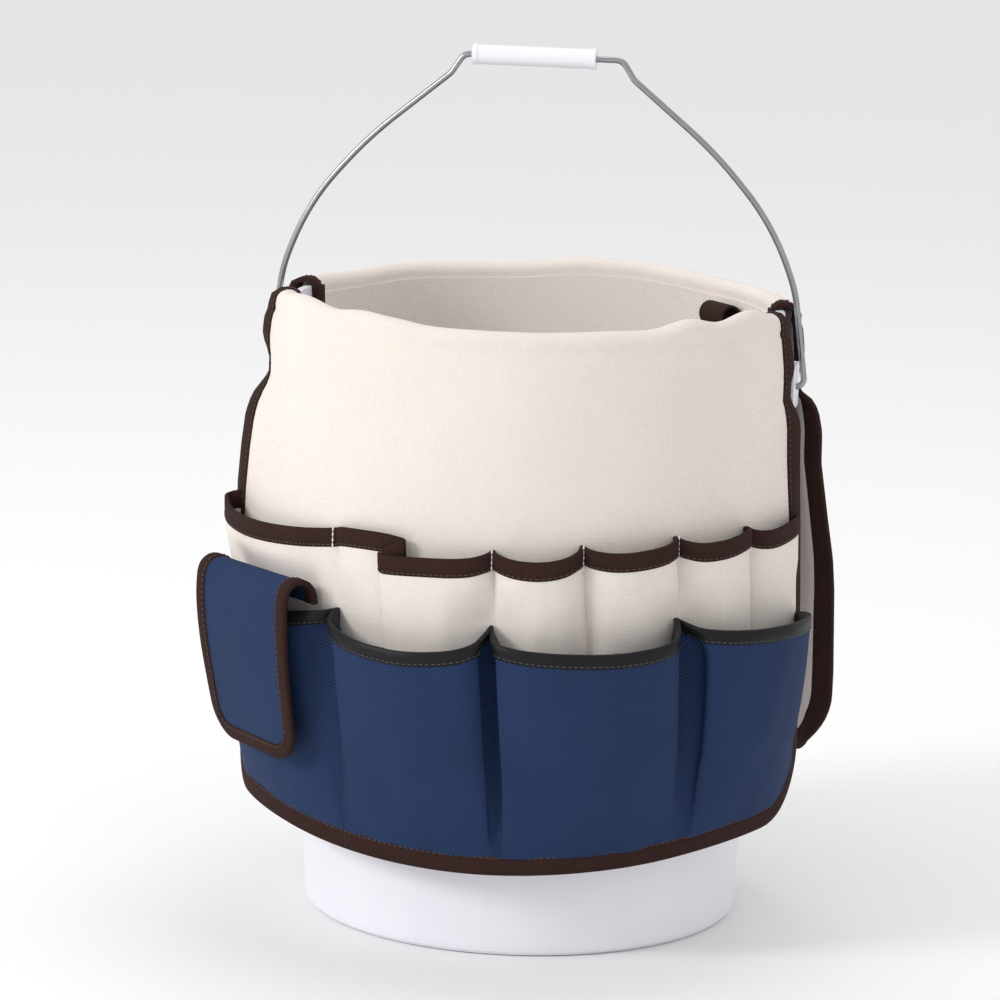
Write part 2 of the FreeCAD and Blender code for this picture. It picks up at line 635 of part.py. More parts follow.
# ---------------------------------------------------------------- ring tab
def tab_frame():
    along, out = local_frame(TAB_ANGLE)
    height = PAIL_HEIGHT - TAB_DROP
    face = math.sqrt((lining_radius(height) - CLOTH - SEWN_GAP) ** 2 - (TAB_WIDTH / 2) ** 2)
    out_of_wall = face - TAB_LOOP
    return along, out, out * out_of_wall + AXIS * height


def ring_tab():
    """Webbing folded into a loop, with both legs sewn to the lining."""
    along, out, centre = tab_frame()
    start = centre - along * (TAB_WIDTH / 2)
    loop = Part.makeCylinder(TAB_LOOP, TAB_WIDTH, start, along)
    lean = math.atan((MOUTH_RADIUS - FOOT_RADIUS) / PAIL_HEIGHT)
    back = out * TAB_LOOP
    slope = -out * math.tan(lean) * TAB_LEG - AXIS * TAB_LEG
    leg_points = [start + back, start + back + slope, start + back + slope - out * (2 * TAB_WEB),
                  start + back - out * (2 * TAB_WEB), start + back]
    legs = prism(lines(leg_points), along * TAB_WIDTH)
    bore = Part.makeCylinder(TAB_LOOP - TAB_WEB, TAB_WIDTH, start, along)
    return loop.fuse(legs).removeSplitter().cut(bore)


def d_ring():
    """The ring: its straight bar rests on the bottom of the loop, its bow hangs below."""
    along, _, centre = tab_frame()
    top = centre - AXIS * (TAB_LOOP - TAB_WEB - RING_WIRE - RING_CLEARANCE)
    side, drop = along * (RING_WIDTH / 2), AXIS * RING_HEIGHT
    corners = [top, top + side, top + side - drop, top - side - drop, top - side, top]
    return rod(filleted(corners, [RING_BEND / 4, RING_BEND, RING_BEND, RING_BEND / 4]), RING_WIRE)


# ---------------------------------------------------------------- all together
def pieces():
    """Every sub-part, by node name."""
    made = {"pail": pail(), "bail_wire": bail_wire(), "bail_grip": bail_grip(), "lining": lining(),
            "lining_binding": lining_binding(), "right_slot_binding": slot_binding(90),
            "left_slot_binding": slot_binding(270), "ring_tab": ring_tab(), "d_ring": d_ring()}
    for side in (FRONT, BACK):
        made[f"{side.name}_apron"] = apron(side)
        made[f"{side.name}_edge_binding"] = edge_binding(side)
        for row, count in (("upper", len(side.upper)), ("lower", len(side.lower))):
            tapes = []
            for k in range(count):
                cloth, tape = pocket(side, row, k)
                made[f"{side.name}_{row}_pocket_{k + 1}"] = cloth
                tapes += tape.Solids
            made[f"{side.name}_{row}_pocket_trim"] = Part.makeCompound(tapes)
    root, panel, tape = flap_pieces()
    made.update({"flap_root": root, "flap_panel": panel, "flap_binding": tape,
                 "flap_hook_patch": hook_patch(), "pocket_loop_patch": loop_patch()})
    return made


def main():
    os.makedirs("parts", exist_ok=True)
    for name, shape in pieces().items():
        solids = shape.Solids
        sound = shape.isValid() and solids and all(s.isClosed() and s.Volume > 0 for s in solids)
        print(f"{name:28s} {len(solids)} solid(s) {shape.Volume / 1000:9.2f} cm3 {'ok' if sound else 'NOT SOUND'}")
        out = solids[0] if len(solids) == 1 else Part.makeCompound(solids)
        out.exportStep(f"parts/{name}.step")


main()
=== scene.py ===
# %% [markdown]
# # A sewn tool organizer on its pail
#
# The object is a plastic pail that wears a cloth organizer: two aprons hang over its rim, each with a row
# of cream pockets above a row of navy ones. A wire bail stands up between them. The CAD model already holds
# the hard parts and the sizes, so this script keeps those parts, gives them finishes, and makes the cloth
# anew, because cloth needs folds, tapes and stitches that a stiff CAD solid doesn't have.

# %% Load the fixed frame
import math

import bpy
from mathutils import Matrix, Vector, noise


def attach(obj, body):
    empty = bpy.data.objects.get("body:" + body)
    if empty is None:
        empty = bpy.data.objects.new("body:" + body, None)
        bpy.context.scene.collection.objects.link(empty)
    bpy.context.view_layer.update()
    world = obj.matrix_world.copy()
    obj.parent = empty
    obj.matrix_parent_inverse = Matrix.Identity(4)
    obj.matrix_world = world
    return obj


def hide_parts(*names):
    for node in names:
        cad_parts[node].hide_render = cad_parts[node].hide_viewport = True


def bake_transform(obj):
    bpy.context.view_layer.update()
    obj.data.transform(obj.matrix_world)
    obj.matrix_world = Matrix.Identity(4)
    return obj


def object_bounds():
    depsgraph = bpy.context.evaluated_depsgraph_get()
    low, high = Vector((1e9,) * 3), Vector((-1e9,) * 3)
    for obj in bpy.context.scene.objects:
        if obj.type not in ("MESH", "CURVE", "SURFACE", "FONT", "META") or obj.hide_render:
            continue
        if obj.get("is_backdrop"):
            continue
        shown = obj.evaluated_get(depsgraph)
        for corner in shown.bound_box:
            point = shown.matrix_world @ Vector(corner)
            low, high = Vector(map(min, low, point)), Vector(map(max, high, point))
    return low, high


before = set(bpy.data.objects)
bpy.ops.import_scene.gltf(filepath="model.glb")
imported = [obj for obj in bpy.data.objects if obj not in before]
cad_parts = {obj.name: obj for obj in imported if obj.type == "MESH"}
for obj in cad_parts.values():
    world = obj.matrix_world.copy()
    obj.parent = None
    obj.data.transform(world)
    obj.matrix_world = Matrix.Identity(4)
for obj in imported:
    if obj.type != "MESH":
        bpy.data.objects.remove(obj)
cad_box = [list(corner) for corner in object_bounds()]
bpy.ops.object.select_all(action="DESELECT")
MM = 0.001
ROOT = "organizer_on_pail"
print("CAD box in millimetres:", [[round(v / MM, 1) for v in corner] for corner in cad_box])

# %% [markdown]
# ## Camera, floor and light
#
# The view is a long lens from a little above the rim and a little to the right. The camera is turned by
# plain rotations: heading, then tilt, then a slight roll. The floor is a broad pale plane, and the light is
# soft, because a studio table and large soft boxes show cloth without hard shadows.

# %% The camera
VIEW_AZIMUTH = 9.5
VIEW_DISTANCE = 2.695
VIEW_HEIGHT = 0.764
VIEW_HEADING = 9.892
VIEW_TILT = -10.856
VIEW_ROLL = 1.564

around = math.radians(VIEW_AZIMUTH)
spot = Vector((VIEW_DISTANCE * math.sin(around), -VIEW_DISTANCE * math.cos(around), VIEW_HEIGHT))
bpy.ops.object.camera_add(location=spot)
camera = bpy.context.object
turns = ((VIEW_HEADING, "Z"), (90 + VIEW_TILT, "X"), (VIEW_ROLL, "Z"))
pose = Matrix.Translation(spot)
for degrees, axis in turns:
    pose = pose @ Matrix.Rotation(math.radians(degrees), 4, axis)
camera.matrix_world = pose
camera.data.lens = 163.7
bpy.context.scene.camera = camera
print("camera at", [round(v, 3) for v in spot], "lens", round(camera.data.lens, 1))


# %% Floor, sky and lamps
def soft_box(name, place, size, power):
    """A large square lamp that looks at the middle of the organizer."""
    bpy.ops.object.light_add(type="AREA", location=place)
    lamp = bpy.context.object
    lamp.name = name
    lamp.data.size = size
    lamp.data.energy = power
    lamp.rotation_euler = (Vector((0, 0, 0.2)) - Vector(place)).to_track_quat("-Z", "Y").to_euler()
    return lamp


bpy.ops.mesh.primitive_plane_add(size=40)
floor = bpy.context.object
floor.name = "studio_floor"
floor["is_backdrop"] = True

world = bpy.data.worlds.new("studio")
world.use_nodes = True
world.node_tree.nodes["Background"].inputs["Color"].default_value = (1, 1, 1, 1)
world.node_tree.nodes["Background"].inputs["Strength"].default_value = 0.8
bpy.context.scene.world = world
bpy.context.scene.view_settings.view_transform = "Standard"

soft_box("key_light", (-2.5, -1.9, 1.7), 0.9, 46)
soft_box("fill_light", (2.6, -1.6, 1.0), 1.6, 2)
soft_box("top_light", (0.2, 0.6, 2.6), 1.5, 10)

# %% [markdown]
# ## Writing finishes as formulas
#
# A finish is a small program: noise, waves and masks that mix colours and push the surface in and out.
# Wiring it by hand takes many nodes, so a socket is wrapped in a small class. Then an ordinary expression
# such as `0.5 + 0.5 * wave` adds its Math nodes by itself.


# %% The shader helpers
class Value:
    """A number inside a material, on which Python's own operators work."""

    def __init__(self, finish, socket):
        self.finish = finish
        self.socket = socket

    def _math(self, operation, *values):
        return self.finish.node("ShaderNodeMath", {"operation": operation}, dict(enumerate(values)))

    def __add__(self, other):
        return self._math("ADD", self, other)

    def __sub__(self, other):
        return self._math("SUBTRACT", self, other)

    def __rsub__(self, other):
        return self._math("SUBTRACT", other, self)

    def __mul__(self, other):
        return self._math("MULTIPLY", self, other)

    __radd__ = __add__
    __rmul__ = __mul__

    def wave(self):
        """From 0 to 1 and back for each whole step of the value."""
        return 0.5 + 0.5 * self._math("SINE", self * (2 * math.pi))


class Finish:
    """A material being written: its shader and one way to add a node."""

    def __init__(self, name, colour, roughness, **fixed):
        self.material = bpy.data.materials.new(name)
        self.material.use_nodes = True
        self.tree = self.material.node_tree
        self.shader = self.tree.nodes["Principled BSDF"]
        self.set("Base Color", (*colour, 1))
        self.set("Roughness", roughness)
        for key, value in fixed.items():
            self.shader.inputs[key.replace("_", " ").title().replace("Ior", "IOR")].default_value = value

    def node(self, kind, settings, inputs, output=0):
        made = self.tree.nodes.new(kind)
        for key, value in settings.items():
            setattr(made, key, value)
        for key, value in inputs.items():
            self._feed(made.inputs[key], value)
        return Value(self, made.outputs[output])

    def _feed(self, socket, value):
        if isinstance(value, Value):
            self.tree.links.new(value.socket, socket)
        else:
            socket.default_value = value

    def set(self, key, value):
        self._feed(self.shader.inputs[key], value)

    def cloth_uv(self):
        """Metres along and up the cloth, from its own map."""
        place = self.node("ShaderNodeUVMap", {"uv_map": "cloth"}, {})
        parts = self.tree.nodes.new("ShaderNodeSeparateXYZ")
        self.tree.links.new(place.socket, parts.inputs[0])
        return place, Value(self, parts.outputs[0]), Value(self, parts.outputs[1])

    def object_place(self):
        return self.node("ShaderNodeTexCoord", {}, {}, "Object")

    def cloud(self, place, size, detail=2.0, rough=0.5):
        """Smooth noise from 0 to 1 whose patches are about a size across, in metres."""
        inputs = {"Vector": place, "Scale": 1 / size, "Detail": detail, "Roughness": rough}
        return self.node("ShaderNodeTexNoise", {}, inputs)

    def stretched(self, place, scale):
        return self.node("ShaderNodeMapping", {}, {"Vector": place, "Scale": scale})

    def mix(self, share, low, high):
        made = self.tree.nodes.new("ShaderNodeMix")
        made.data_type = "RGBA"
        for index, value in ((0, share), (6, low), (7, high)):
            self._feed(made.inputs[index], (*value, 1) if isinstance(value, tuple) else value)
        return Value(self, made.outputs[2])

    def bump(self, height, depth):
        """Push the surface by a height from 0 to 1, times a depth in metres."""
        inputs = {"Height": height, "Distance": depth, "Strength": 1.0}
        self.set("Normal", self.node("ShaderNodeBump", {}, inputs))


# %% [markdown]
# ## Cloth finishes
#
# The cream canvas is a fine plain weave: two sets of threads that go over and under each other. The navy
# cloth is a twill, so light threads climb across it in slanted lines. Both patterns follow each piece's own
# flat map in metres, so a thread has its real width on every pocket and bends with the cloth.


# %% Cream canvas and navy twill
def cream_canvas():
    finish = Finish("cream_canvas", (0.80, 0.745, 0.69), 0.9, specular_ior_level=0.2)
    place, along, up = finish.cloth_uv()
    thread = 0.0012
    weave = (along * (1 / thread)).wave() * (up * (1 / thread)).wave()
    slubs = finish.cloud(finish.stretched(place, (1, 8, 1)), 0.008, 2)
    streaks = finish.cloud(finish.stretched(place, (8, 1, 1)), 0.008, 2)
    patches = finish.cloud(place, 0.07, 2)
    shade = 0.30 * weave + 0.32 * slubs + 0.32 * streaks + 0.35 * patches
    finish.set("Base Color", finish.mix(shade, (0.70, 0.63, 0.575), (0.90, 0.835, 0.785)))
    finish.bump(weave * 0.7 + slubs * 0.3 + streaks * 0.3, 0.00028)
    return finish.material


def navy_twill():
    finish = Finish("navy_twill", (0.03, 0.07, 0.2), 0.7, specular_ior_level=0.22)
    place, along, up = finish.cloth_uv()
    wander = finish.cloud(place, 0.03, 1)
    slant = (up * 0.8 - along * 0.62 + wander * 0.0012) * (1 / 0.0016)
    ribs = slant.wave()
    threads = (along * (1 / 0.0011)).wave() * 0.5 + (up * (1 / 0.0013)).wave() * 0.5
    patches = finish.cloud(place, 0.05, 3)
    shade = ribs * 0.52 + threads * 0.2 + patches * 0.35
    finish.set("Base Color", finish.mix(shade, (0.004, 0.011, 0.036), (0.021, 0.049, 0.140)))
    finish.set("Roughness", 0.72 + 0.12 * patches)
    finish.bump(ribs * 0.75 + threads * 0.25, 0.00030)
    return finish.material


CREAM = cream_canvas()
NAVY = navy_twill()
print("cloth finishes:", CREAM.name, NAVY.name)

# %% [markdown]
# ## Tapes, thread, plastic and metal
#
# The edges are bound in a dark brown grosgrain tape: fine ribs run across it. The navy pockets have a smooth
# black vinyl tape with a soft shine instead. The pail is moulded plastic, a cool white that is very slightly
# uneven and scuffed. The bail is drawn wire, so its marks run along it.


# %% Brown grosgrain and black vinyl
def brown_webbing():
    finish = Finish("brown_webbing", (0.04, 0.02, 0.017), 0.85, specular_ior_level=0.12)
    place, along, _ = finish.cloth_uv()
    ribs = (along * (1 / 0.0011)).wave()
    fibres = finish.cloud(finish.stretched(place, (1, 6, 1)), 0.0018, 2)
    worn = finish.cloud(place, 0.02, 3)
    shade = ribs * 0.45 + fibres * 0.35 + worn * 0.25
    finish.set("Base Color", finish.mix(shade, (0.010, 0.004, 0.0035), (0.060, 0.028, 0.024)))
    finish.bump(ribs * 0.7 + fibres * 0.3, 0.00035)
    return finish.material


def black_vinyl():
    finish = Finish("black_vinyl", (0.012, 0.012, 0.014), 0.45, specular_ior_level=0.16)
    place, _, _ = finish.cloth_uv()
    grain = finish.cloud(place, 0.0012, 2)
    worn = finish.cloud(place, 0.015, 3)
    shade = worn * 0.8 + grain * 0.2
    finish.set("Base Color", finish.mix(shade, (0.004, 0.004, 0.005), (0.016, 0.016, 0.018)))
    finish.set("Roughness", 0.3 + 0.25 * worn)
    finish.bump(grain, 0.00008)
    return finish.material


def thread(name, colour, light):
    finish = Finish(name, colour, 0.7)
    twist = finish.cloud(finish.object_place(), 0.0009, 1)
    finish.set("Base Color", finish.mix(twist, colour, light))
    return finish.material


BROWN = brown_webbing()
BLACK = black_vinyl()
WHITE_THREAD = thread("white_thread", (0.72, 0.70, 0.68), (0.92, 0.9, 0.88))
BROWN_THREAD = thread("brown_thread", (0.05, 0.03, 0.026), (0.085, 0.052, 0.044))
BLACK_THREAD = thread("black_thread", (0.03, 0.03, 0.033), (0.07, 0.07, 0.075))


# %% Moulded plastic, wire and hook-and-loop
def moulded(name, low, high, roughness):
    finish = Finish(name, high, roughness)
    place = finish.object_place()
    flow = finish.cloud(finish.stretched(place, (1, 1, 0.25)), 0.06, 3)
    scuffs = finish.cloud(finish.stretched(place, (1, 1, 6)), 0.012, 4, 0.7)
    finish.set("Base Color", finish.mix(flow, low, high))
    finish.set("Roughness", roughness - 0.08 + 0.2 * scuffs)
    finish.bump(flow * 0.6 + scuffs * 0.4, 0.00012)
    return finish.material


def drawn_metal(name, colour, roughness):
    finish = Finish(name, colour, roughness, metallic=1.0)
    place = finish.object_place()
    marks = finish.cloud(finish.stretched(place, (0.12, 1, 0.12)), 0.002, 3)
    spots = finish.cloud(place, 0.009, 3)
    dull = tuple(0.62 * c for c in colour)
    finish.set("Base Color", finish.mix(spots * 0.6 + marks * 0.4, dull, colour))
    finish.set("Roughness", roughness - 0.06 + 0.22 * marks)
    finish.bump(marks, 0.00005)
    return finish.material


def hook_and_loop():
    finish = Finish("hook_and_loop", (0.02, 0.02, 0.02), 0.95)
    place = finish.object_place()
    pile = finish.cloud(place, 0.0011, 3, 0.7)
    finish.set("Base Color", finish.mix(pile, (0.006, 0.006, 0.007), (0.055, 0.05, 0.05)))
    finish.bump(pile, 0.0008)
    return finish.material


PAIL_PLASTIC = moulded("pail_plastic", (0.79, 0.775, 0.84), (0.87, 0.86, 0.91), 0.38)
GRIP_PLASTIC = moulded("grip_plastic", (0.80, 0.79, 0.85), (0.88, 0.87, 0.92), 0.42)
WIRE = drawn_metal("zinc_wire", (0.42, 0.43, 0.44), 0.24)
NICKEL = drawn_metal("nickel_ring", (0.85, 0.85, 0.86), 0.18)
PILE = hook_and_loop()
FLOOR = Finish("pale_floor", (0.96, 0.96, 0.96), 0.8).material
floor.data.materials.append(FLOOR)

KEPT = (("pail", PAIL_PLASTIC), ("bail_grip", GRIP_PLASTIC), ("bail_wire", WIRE), ("d_ring", NICKEL))
for node, material in KEPT:
    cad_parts[node].data.materials.clear()
    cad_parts[node].data.materials.append(material)
print("finishes:", len(bpy.data.materials))

# %% [markdown]
# ## The shape of the hanging cloth
#
# Every piece of the organizer is laid out as a maker would: flat, in millimetres, before it is hung. A rule
# then says where a flat point goes on the pail. An apron rolls over the rim, falls close to the pail at its
# middle, and stands away from it towards its two free edges, so each level is an arc of a circle wider than
# the pail.

# %% Sizes that the cloth follows
PAIL_HEIGHT = 368.0
CREST_OUT = 154.5
CREST_IN = 140.7
CREST_DROP = 2.5
CREST_RADIUS = (CREST_OUT - CREST_IN) / 2
CREST_CENTRE = (CREST_OUT + CREST_IN) / 2
EDGE_ANGLE = 82.0
FLAT_RADIUS = 168.0
HALF_WIDTH = math.radians(EDGE_ANGLE) * FLAT_RADIUS
CLOTH = 1.2
CORNER = 42.0
MIDDLE_FLARE = ((2.5, 0), (24, 0.8), (66, 1.8), (166, 3.0), (320, 3.0))
# each free edge: drop below the rim, how far the edge stands out, and how much of that is its own curl
FRONT_LEFT = ((2.5, 4.5, 4.5), (15, 8, 5.5), (24, 8.5, 5), (30, 6.5, 3), (36, 3.7, 0.5), (47, 3.7, 0.5),
              (53, 8.0, 3), (61, 14, 5), (72, 17.5, 5.5), (90, 19.5, 5), (115, 21.3, 4.5), (140, 21, 3),
              (168, 20, 1.5),
              (320, 18, 0))
FRONT_RIGHT = ((2.5, 0.5, 1), (12, 2.5, 2), (28, 5.4, 3), (36, 3.7, 0.5), (47, 3.7, 0.5), (53, 8.0, 3),
               (61, 11, 5), (82, 11.6, 4.5), (114, 13, 3), (168, 15, 1.5), (320, 16, 0))
BACK_EDGE = ((2.5, 3.5, 3), (12, 5, 3.5), (23, 6.5, 4), (30, 6.5, 3), (35.5, 4.2, 0.5), (47.5, 4.2, 0.5),
             (54, 13, 5), (60, 17, 8), (73, 19.8, 9), (92, 20, 9), (126, 25, 9), (151, 29, 9.5),
             (170, 30.5, 10), (220, 31.8, 11), (320, 30, 11))
CURL_WIDTH = 16.0
# each bump of the rim: angle, height and half width
FRONT_WAVES = ((-56, 5.0, 13), (-33, 4.0, 7), (-23, 2.0, 6), (27, 1.2, 10), (46, 6.0, 7), (66, 6.5, 9))
BACK_WAVES = ((0, 3.5, 9), (-10, 2.5, 8), (-19, 3.0, 8), (-31, 1.5, 7), (43, 1.0, 12), (60, -1.5, 10))


class Side:
    """One apron: which way it faces, how low it hangs, how its free edges flare and how its rim waves."""

    def __init__(self, name, turn, hem, left, right, waves):
        self.name = name
        self.turn = turn
        self.hem = hem
        self.left = left
        self.right = right
        self.waves = waves

    def edge(self, angle, drop):
        """Stand-off and curl of the free edge that is nearest to this angle."""
        rows = self.left if angle < 0 else self.right
        return tuple(reading([(row[0], row[k]) for row in rows], drop) for k in (1, 2))


FRONT = Side("front", 0, 311.0, FRONT_LEFT, FRONT_RIGHT, FRONT_WAVES)
BACK = Side("back", 180, 293.0, BACK_EDGE, BACK_EDGE, BACK_WAVES)


# %% From flat cloth to the pail
def reading(table, at):
    """A table of (place, value) read along straight lines."""
    for (p0, v0), (p1, v1) in zip(table, table[1:]):
        if at <= p1:
            return v0 + (v1 - v0) * max(0.0, at - p0) / (p1 - p0)
    return table[-1][1]


def apron_radius(side, angle, drop):
    """How far from the pail's axis the apron hangs at this angle and drop below the rim."""
    middle = CREST_OUT + reading(MIDDLE_FLARE, drop)
    flare, curl = side.edge(angle, drop)
    edge = CREST_OUT + flare - curl
    across = edge * math.sin(math.radians(EDGE_ANGLE))
    ahead = middle - edge * math.cos(math.radians(EDGE_ANGLE))
    radius = (across ** 2 + ahead ** 2) / (2 * ahead)
    behind = radius - middle
    a = math.radians(angle)
    share = max(0.0, 1 - (HALF_WIDTH - abs(a) * FLAT_RADIUS) / CURL_WIDTH)
    return -behind * math.cos(a) + math.sqrt(radius ** 2 - (behind * math.sin(a)) ** 2) + curl * share ** 1.3


def rim_wave(side, angle):
    return sum(height * math.exp(-((angle - at) / width) ** 2) for at, height, width in side.waves)


def turned(side, angle, radius, height):
    """A place round the pail, in metres."""
    a = math.radians(angle + side.turn)
    return Vector((radius * math.sin(a), -radius * math.cos(a), height)) * MM


def ripple(x, y, seed, wide=70.0, tall=110.0):
    """A gentle unevenness from -1 to 1."""
    return noise.noise(Vector((x / wide, y / tall, seed)))


def apron_place(side, x, drop, out=0.0):
    """Where a flat point of the apron hangs: x along the rim, drop down the outside, out off the cloth."""
    angle = math.degrees(x / FLAT_RADIUS)
    wave = rim_wave(side, angle)
    if drop >= CREST_DROP:
        fade = max(0.0, 1 - (drop - CREST_DROP) / 48)
        uneven = 1.3 * ripple(x, drop, side.turn + 3.1) * min(1.0, drop / 40)
        dent = -1.0 * math.exp(-((drop - 7.5) / 1.6) ** 2)
        radius = apron_radius(side, angle, drop) - CLOTH / 2 + uneven + dent + out
        return turned(side, angle, radius, PAIL_HEIGHT - drop + wave * fade ** 2)
    roll = (CREST_DROP - drop) / CREST_RADIUS
    top = PAIL_HEIGHT - CREST_DROP + wave
    reach = CREST_RADIUS - CLOTH / 2 + out
    if roll <= math.pi:
        curl = (apron_radius(side, angle, CREST_DROP) - CREST_OUT) * max(0.0, math.cos(roll))
        return turned(side, angle, CREST_CENTRE + curl + reach * math.cos(roll), top + reach * math.sin(roll))
    return turned(side, angle, CREST_CENTRE - reach, top - (roll - math.pi) * CREST_RADIUS)


INNER_END = CREST_DROP - math.pi * CREST_RADIUS - 4.0
print("cloth over the rim:", round(CREST_DROP - INNER_END, 1), "mm")

# %% [markdown]
# ## Making a sheet, a tape and a row of stitches
#
# Three helpers make nearly all of the cloth. A sheet is a net of points with a thickness and a flat map. A
# tape is folded over the edge of a sheet, so its section is a narrow U with rounded lips, carried along the
# edge. A stitch is one short bead of thread, modelled once and set down again and again along a seam.


# %% Sheets of cloth
def select_only(piece):
    bpy.ops.object.select_all(action="DESELECT")
    piece.select_set(True)
    bpy.context.view_layer.objects.active = piece


def mesh_piece(name, points, faces, flat, material):
    """A piece from points and faces, with its flat map in metres."""
    mesh = bpy.data.meshes.new(name)
    mesh.from_pydata(points, [], faces)
    if flat:
        layer = mesh.uv_layers.new(name="cloth")
        for loop in mesh.loops:
            layer.data[loop.index].uv = flat[loop.vertex_index]
    mesh.materials.append(material)
    piece = bpy.data.objects.new(name, mesh)
    bpy.context.collection.objects.link(piece)
    return piece


def sheet(name, net, flat, material, thickness=CLOTH, keep=None):
    """Cloth from a net of points, row by row downwards, left to right; flat holds each point's (x, drop)."""
    wide = len(net[0])
    faces = []
    for r in range(len(net) - 1):
        for c in range(wide - 1):
            if keep is None or keep(r, c):
                here, below = r * wide + c, (r + 1) * wide + c
                faces.append((here, below, below + 1, here + 1))
    points = [p for row in net for p in row]
    map_points = [(x * MM, -drop * MM) for row in flat for x, drop in row]
    piece = mesh_piece(name, points, faces, map_points, material)
    select_only(piece)
    solid = piece.modifiers.new("thickness", "SOLIDIFY")
    solid.thickness = thickness * MM
    solid.offset = 0
    solid.use_even_offset = True
    bpy.ops.object.modifier_apply(modifier=solid.name)
    bpy.ops.object.shade_smooth_by_angle(angle=math.radians(50))
    return piece


def cloth_area(piece):
    """The flat area of a sheet in square metres, from its map, one layer only."""
    layer = piece.data.uv_layers["cloth"].data
    total = 0.0
    for face in piece.data.polygons:
        uv = [layer[k].uv for k in face.loop_indices]
        total += abs(sum(a.x * b.y - b.x * a.y for a, b in zip(uv, uv[1:] + uv[:1]))) / 2
    return total / 2


def declare(piece):
    """Say what the sheet was cut to before it was sewn."""
    layer = piece.data.uv_layers["cloth"].data
    spans = [max(d.uv[k] for d in layer) - min(d.uv[k] for d in layer) for k in (0, 1)]
    area = cloth_area(piece)
    print(f"{piece.name}: cut {spans[0] / MM:.0f} x {spans[1] / MM:.0f} mm, {area:.4f} square metres")


# %% Tapes over an edge
def tape_runs(places, width):
    """One run for each place of an edge. A place is a rule: the cloth's point at a distance in from it."""
    return [[place(0.0), place(width / 2), place(width)] for place in places]


def run_normals(runs, flip):
    found = []
    for k, (edge, _, inner) in enumerate(runs):
        along = runs[min(k + 1, len(runs) - 1)][0] - runs[max(k - 1, 0)][0]
        normal = along.cross(inner - edge) if flip else (inner - edge).cross(along)
        found.append(normal.normalized())
    return found


def tape(name, rows, width, material, half=1.35, flip=False):
    """Tape folded over one or more edges; rows is a list of edges, each a list of runs."""
    half, width = half * MM, width * MM
    points, faces, flat, lines = [], [], [], []
    for runs in rows:
        normals = run_normals(runs, flip)
        travelled, previous, first = 0.0, None, len(points)
        line = []
        for (edge, middle, inner), normal in zip(runs, normals):
            travelled += (edge - previous).length if previous else 0.0
            previous = edge
            lip = (edge - middle).normalized() * (0.6 * MM)
            section = [(inner, 0.5, 0.0), (inner + lip, 1.0, 0.0006), (middle, 1.12, width / 2),
                       (edge, 1.0, width), (edge + lip, 0.55, width + 0.0008),
                       (edge + lip, -0.55, width + 0.0018),
                       (edge, -1.0, width + 0.0026), (middle, -1.12, 1.5 * width + 0.0026),
                       (inner + lip, -1.0, 2 * width + 0.002), (inner, -0.5, 2 * width + 0.0026)]
            for place, share, across in section:
                points.append(place + normal * (half * share))
                flat.append((travelled, across))
            line.append((inner.lerp(edge, 1.6 * MM / width) + normal * half * 1.06, normal))
        n = len(section)
        for k in range(len(runs) - 1):
            a, b = first + k * n, first + (k + 1) * n
            faces += [(a + j, a + (j + 1) % n, b + (j + 1) % n, b + j) for j in range(n)]
        last = first + (len(runs) - 1) * n
        faces += [tuple(range(first + n - 1, first - 1, -1)), tuple(range(last, last + n))]
        lines.append(line)
    if flip:
        faces = [tuple(reversed(f)) for f in faces]
    piece = mesh_piece(name, points, faces, flat, material)
    select_only(piece)
    bpy.ops.object.shade_smooth_by_angle(angle=math.radians(60))
    return piece, lines


# %% Stitches
bpy.ops.mesh.primitive_uv_sphere_add(segments=6, ring_count=4, radius=1.0)
bead = bpy.context.object
bead.name = "stitch_bead"
bpy.ops.object.mode_set(mode="EDIT")
bpy.ops.mesh.select_all(action="SELECT")
bpy.ops.transform.rotate(value=math.radians(90), orient_axis="Y", center_override=(0, 0, 0))
bpy.ops.object.mode_set(mode="OBJECT")
BEAD_POINTS = [v.co.copy() for v in bead.data.vertices]
BEAD_FACES = [tuple(p.vertices) for p in bead.data.polygons]
bpy.data.objects.remove(bead)


def stitches(name, lines, material, length=2.6, pitch=3.5, thick=0.42):
    """Beads of thread along lines of (place, normal)."""
    points, faces = [], []
    for line in lines:
        wait = pitch * MM / 2
        for (a, up_a), (b, up_b) in zip(line, line[1:]):
            reach = (b - a).length
            while wait <= reach and reach > 0:
                middle, up = a.lerp(b, wait / reach), up_a.lerp(up_b, wait / reach).normalized()
                along = (b - a).normalized()
                side = up.cross(along).normalized()
                start = len(points)
                for p in BEAD_POINTS:
                    points.append(middle + along * (p.x * length * MM / 2) + side * (p.y * thick * MM)
                                  + up * (p.z * thick * MM * 0.8))
                faces += [tuple(start + k for k in f) for f in BEAD_FACES]
                wait += pitch * MM
            wait -= reach
    piece = mesh_piece(name, points, faces, None, material)
    select_only(piece)
    bpy.ops.object.shade_smooth()
    return piece


print("one stitch has", len(BEAD_FACES), "faces")

# %% [markdown]
# ## The aprons
#
# An apron is one length of cream canvas. Its outline is a rectangle with two rounded bottom corners and a
# hem that rises a little towards its ends. The brown tape starts inside the rim, comes over it, runs down
# the side, round the hem and back up, so it is carried along that outline with its width always square to
# it.


# %% The apron's outline
HEM_ARC = 860.0
HEM_RADIUS = 172.0


def hem_drop(side, x):
    """How low the hem hangs at x, with the rounded corner."""
    across = HEM_RADIUS * math.sin(x / FLAT_RADIUS)
    low = side.hem - (HEM_ARC - math.sqrt(HEM_ARC ** 2 - across ** 2))
    inside = HALF_WIDTH - abs(x)
    if inside < CORNER:
        low -= CORNER - math.sqrt(max(0.0, CORNER ** 2 - (CORNER - inside) ** 2))
    return low


